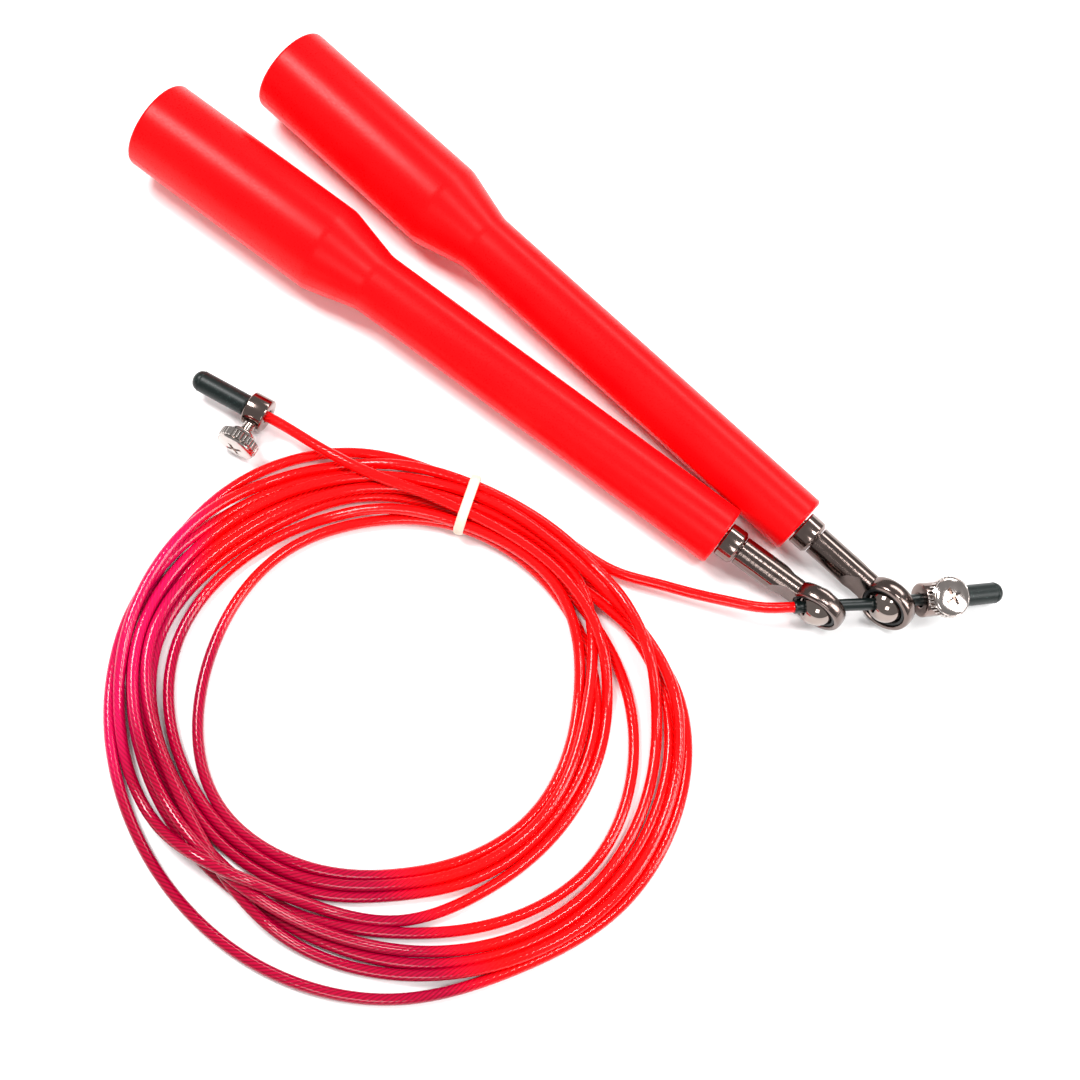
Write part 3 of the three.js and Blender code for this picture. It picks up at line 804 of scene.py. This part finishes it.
# ---- Grips --------------------------------------------------------------------------------
# Each grip is moulded in red ABS from a spark-eroded mould: a thick butt, a short cone and a slim
# taper to the tip. The mould's parting line runs down both sides, and a push-in disc closes the butt.
SIDES = ("left", "right")
EYE_STATION = 191.6              # stations are measured from the butt
GRIP_LENGTH = 165.0
BUTT_RADIUS = 10.95
CORNER_ROUND = 1.0
THICK_RADIUS = 11.0
CONE_START, CONE_END = 51.3, 64.5
BARREL_RADIUS = 7.5
TIP_RADIUS = 7.26
BUTT_BORE = 9.0
BUTT_BORE_END = 44
TIP_HOLE = 3.4
TIP_WALL = 2.6
BARREL_BORE = TIP_HOLE + 2.0
PARTING_HEIGHT = 0.07
GRIP_STEPS = 144


def handle_place(side, roll=0.0):
    """A place whose +X runs along the handle from the middle of its butt."""
    eye = {"left": LEFT_EYE, "right": RIGHT_EYE}[side]
    along = joint_axis(f"{side}_grip_spin")
    across = Vector((0, 0, 1)).cross(along).normalized()
    turn = Matrix((along, across, along.cross(across))).transposed().to_4x4()
    return Matrix.Translation(eye - along * EYE_STATION) @ turn @ Matrix.Rotation(roll, 4, "X")


# Moulded ABS: even saturated red, satin, with a fine spark-eroded grain drawn coarse enough to
# show, and a slow cloudiness from the flow of the melt.
GRAIN = 0.45                     # mm
abs_plastic, tree, shader = new_material("moulded_red_abs", {
    "IOR": 1.53,
    "Specular IOR Level": 0.1,
})
place = add_node(tree, "ShaderNodeTexCoord")
flow = add_node(
    tree, "ShaderNodeTexNoise", None,
    {"Vector": place.outputs["Object"], "Scale": 1 / (14 * MM), "Detail": 2.0},
)
grain = add_node(
    tree, "ShaderNodeTexNoise", None,
    {"Vector": place.outputs["Object"], "Scale": 1 / (GRAIN * MM), "Detail": 3.0, "Roughness": 0.6},
)
tone = add_node(
    tree, "ShaderNodeMix", {"data_type": "RGBA"},
    {"Factor": flow.outputs["Fac"], 6: linear("#EA0008"), 7: linear("#FF0C10")},
)
tree.links.new(tone.outputs[2], shader.inputs["Base Color"])
satin = add_node(tree, "ShaderNodeMapRange", None, {
    "Value": grain.outputs["Fac"], "From Min": 0.3, "From Max": 0.7, "To Min": 0.24, "To Max": 0.38,
})
tree.links.new(satin.outputs[0], shader.inputs["Roughness"])
relief = add_node(
    tree, "ShaderNodeBump", None,
    {"Strength": 0.3, "Distance": 0.05 * MM, "Height": grain.outputs["Fac"]},
)
tree.links.new(relief.outputs[0], shader.inputs["Normal"])

for side in SIDES:
    outside = rounded([
        (0, BUTT_BORE + 0.25),
        (0, BUTT_RADIUS),
        (CONE_START, THICK_RADIUS),
        (CONE_END, BARREL_RADIUS),
        (GRIP_LENGTH - 0.5, TIP_RADIUS),
        (GRIP_LENGTH, TIP_RADIUS - 0.5),
        (GRIP_LENGTH, TIP_HOLE),
        (GRIP_LENGTH - TIP_WALL, TIP_HOLE),
        (GRIP_LENGTH - TIP_WALL, BARREL_BORE),
        (CONE_END, BARREL_BORE),
        (BUTT_BORE_END, BUTT_BORE),
        (0.25, BUTT_BORE),
    ], CORNER_ROUND, 5)
    grip = turned(f"{side}_moulded_grip", outside, GRIP_STEPS)
    # The parting line: the outermost edge on both sides is pulled out a hair.
    for corner in grip.data.vertices:
        x, y, z = corner.co
        radius = math.hypot(y, z)
        if abs(z) < 0.02 and radius > TIP_RADIUS - 0.1:
            corner.co.yz = corner.co.yz * (1 + PARTING_HEIGHT / radius)
    set_down(grip, handle_place(side), abs_plastic, 40)
    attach(grip, f"{side}_handle")
    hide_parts(f"{side}_grip")

    disc = turned(f"{side}_butt_disc", rounded([
        (0.9, 0),
        (0.9, 5.2),
        (0.35, 5.8),
        (0.35, BUTT_BORE - 0.1),
        (8, BUTT_BORE - 0.35),
        (8, BUTT_BORE - 2),
        (2.2, BUTT_BORE - 2),
        (2.2, 0),
    ], 0.3, 3), 96)
    set_down(disc, handle_place(side), abs_plastic, 35)
    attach(disc, f"{side}_handle")
    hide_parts(f"{side}_butt_plug")

# ---- Collars and eye rods -----------------------------------------------------------------
# Out of each grip's tip come a turned collar and the eye rod: a round shank, cut down by a chisel
# plane to a blade, with the eye forged on its end. All of it is black-nickel plated steel.
COLLAR_START, COLLAR_END = 165.3, 169.75
COLLAR_RADIUS = 4.2
COLLAR_CHAMFER = 0.7
STEM_RADIUS = 2.0
STEM_START = 149.8
SHANK_RADIUS = 3.5
BLADE_START, BLADE_END = 179.0, 183.0
EYE_RADIUS = 6.8
EYE_EDGE = 6.2
EYE_BORE = 5.4
EYE_WIDTH = 3.8
CUTTER = 8                       # thickness of the blocks that cut the blade, in mm
RING_TURN = Matrix.Rotation(math.radians(90), 4, "Z")    # turns a ring's axis across the handle

rod_rolls = {"left": 0.0, "right": math.radians(-12)}
for side in SIDES:
    place = handle_place(side, rod_rolls[side])
    turned_plate = plated_metal(
        f"turned_black_nickel_{side}", "#7A6C67", 0.15, 0.6 if side == "left" else 0.2, place,
    )
    collar = turned(f"{side}_round_collar", rounded([
        (COLLAR_START, STEM_RADIUS + 0.2),
        (COLLAR_START, COLLAR_RADIUS - 0.25),
        (COLLAR_START + 0.25, COLLAR_RADIUS),
        (COLLAR_END - COLLAR_CHAMFER, COLLAR_RADIUS),
        (COLLAR_END, COLLAR_RADIUS - COLLAR_CHAMFER),
        (COLLAR_END, STEM_RADIUS + 0.2),
    ], 0.12, 2), 96)
    set_down(collar, place, bright_plate, 30)
    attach(collar, f"{side}_eye")
    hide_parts(f"{side}_collar")

    rod = turned(f"{side}_eye_rod_forging", [
        (STEM_START, 0),
        (STEM_START, STEM_RADIUS - 0.3),
        (STEM_START + 0.3, STEM_RADIUS),
        (COLLAR_END + 0.2, STEM_RADIUS),
        (COLLAR_END + 0.2, SHANK_RADIUS - 0.15),
        (COLLAR_END + 0.35, SHANK_RADIUS),
        (EYE_STATION - EYE_BORE - 0.2, SHANK_RADIUS),
        (EYE_STATION - EYE_BORE - 0.2, 0),
    ], 96)
    for flank in (1, -1):
        # A wedge on each side slopes the round shank down, and a block cuts the blade beyond it.
        for start, end, slopes in ((BLADE_START, BLADE_END, True), (BLADE_END, EYE_STATION, False)):
            bpy.ops.object.select_all(action="DESELECT")
            bpy.ops.mesh.primitive_cube_add(size=1)
            cutter = bpy.context.object
            cutter.data.transform(
                Matrix.Translation(((start + end) / 2, flank * (EYE_WIDTH / 2 + CUTTER / 2), 0))
                @ Matrix.Diagonal((end - start, CUTTER, 2 * CUTTER, 1))
            )
            for corner in cutter.data.vertices:
                if slopes and corner.co.x < start + 1 and abs(corner.co.y) < EYE_WIDTH:
                    corner.co.y = flank * (SHANK_RADIUS + 0.15)
            cut_from(rod, cutter)
    half = EYE_WIDTH / 2
    crown = [
        (half * math.sin(angle), EYE_EDGE + (EYE_RADIUS - EYE_EDGE) * math.cos(angle))
        for angle in (math.radians(step) for step in range(-80, 81, 16))
    ]
    eye = turned("eye", [
        (-half, EYE_BORE + 0.15),
        (-half, EYE_EDGE),
        *crown,
        (half, EYE_EDGE),
        (half, EYE_BORE + 0.15),
        (half - 0.15, EYE_BORE),
        (-half + 0.15, EYE_BORE),
    ], 112)
    eye.data.transform(Matrix.Translation((EYE_STATION, 0, 0)) @ RING_TURN)
    bore = turned("bore", [(-5, 0), (-5, EYE_BORE + 0.1), (5, EYE_BORE + 0.1), (5, 0)], 112)
    bore.data.transform(Matrix.Translation((EYE_STATION, 0, 0)) @ RING_TURN)
    cut_from(rod, bore)
    weld = rod.modifiers.new("forged", "BOOLEAN")
    weld.operation = "UNION"
    weld.solver = "EXACT"
    weld.object = eye
    bpy.ops.object.select_all(action="DESELECT")
    bpy.context.view_layer.objects.active = rod
    rod.select_set(True)
    bpy.ops.object.modifier_apply(modifier=weld.name)
    bpy.data.objects.remove(eye)
    set_down(rod, place, turned_plate, 32)
    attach(rod, f"{side}_eye")
    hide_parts(f"{side}_eye_rod")

# ---- Races and swivel balls ---------------------------------------------------------------
# A thin black nylon race lines each eye, and a hollow ball of bright plated steel swivels in it on
# the sleeved cable.
RACE_OUTER = 5.3
RACE_INNER = 4.62
RACE_WIDTH = 3.1
BALL_RADIUS = 4.5
BALL_HALF_LENGTH = 3.4
BALL_BORE = 1.85

# Nylon with graphite, moulded: near black, dull.
nylon, tree, shader = new_material("graphite_nylon", {"Roughness": 0.55})
place = add_node(tree, "ShaderNodeTexCoord")
fleck = add_node(
    tree, "ShaderNodeTexNoise", None, {"Vector": place.outputs["Object"], "Scale": 1 / (0.3 * MM)},
)
tone = add_node(
    tree, "ShaderNodeMix", {"data_type": "RGBA"},
    {"Factor": fleck.outputs["Fac"], 6: linear("#050606"), 7: linear("#17191A")},
)
tree.links.new(tone.outputs[2], shader.inputs["Base Color"])
ball_plate = plated_metal("polished_steel_ball", "#A3958E", 0.07)

for side, eye in (("left", LEFT_EYE), ("right", RIGHT_EYE)):
    half = RACE_WIDTH / 2
    race = turned(f"{side}_nylon_race", rounded([
        (-half, RACE_INNER),
        (-half, RACE_OUTER),
        (half, RACE_OUTER),
        (half, RACE_INNER),
    ], 0.15, 3), 96)
    race.data.transform(Matrix.Translation((EYE_STATION, 0, 0)) @ RING_TURN)
    set_down(race, handle_place(side, rod_rolls[side]), nylon, 40)
    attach(race, f"{side}_eye")
    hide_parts(f"{side}_eye_race")

    limit = math.asin(BALL_HALF_LENGTH / BALL_RADIUS)
    surface = [
        (BALL_RADIUS * math.sin(angle), BALL_RADIUS * math.cos(angle))
        for angle in (limit * (step / 12 - 1) for step in range(25))
    ]
    ball = turned(f"{side}_hollow_ball", [
        (-BALL_HALF_LENGTH, BALL_BORE + 0.2),
        *surface,
        (BALL_HALF_LENGTH, BALL_BORE + 0.2),
        (BALL_HALF_LENGTH - 0.2, BALL_BORE),
        (-BALL_HALF_LENGTH + 0.2, BALL_BORE),
    ], 96)
    set_down(ball, basis(eye, EYE_LINE, Vector((0, 0, 1))), ball_plate, 35)
    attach(ball, f"{side}_swivel")
    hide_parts(f"{side}_swivel_ball")

# ---- Bearings inside the tips -------------------------------------------------------------
# A 4 x 11 x 4 mm ball bearing with its washer, lock nut and spacer holds each rod in its grip.
# They are ground and zinc-bright steel, as bought.
bearing_steel = plated_metal("ground_bearing_steel", "#C9C9C7", 0.25)
for side in SIDES:
    for piece in ("bearing_outer_ring", "bearing_inner_ring", "bearing_ball_cage",
                  "washer", "lock_nut", "spacer_sleeve"):
        for slot in bpy.data.objects[f"{side}_{piece}"].material_slots:
            slot.material = bearing_steel

# ---- The cord and what is on it -----------------------------------------------------------
# The cable leaves the right eye and ends in a cap, with the stoppers and screws clamped on it.
cable_fittings = [sleeve, tie]
for end in CABLE_ENDS:
    cable_fittings += [
        f"{end}_{piece}"
        for piece in ("end_cap", "stop_ring", "cross_screw", "knurled_collar")
    ]
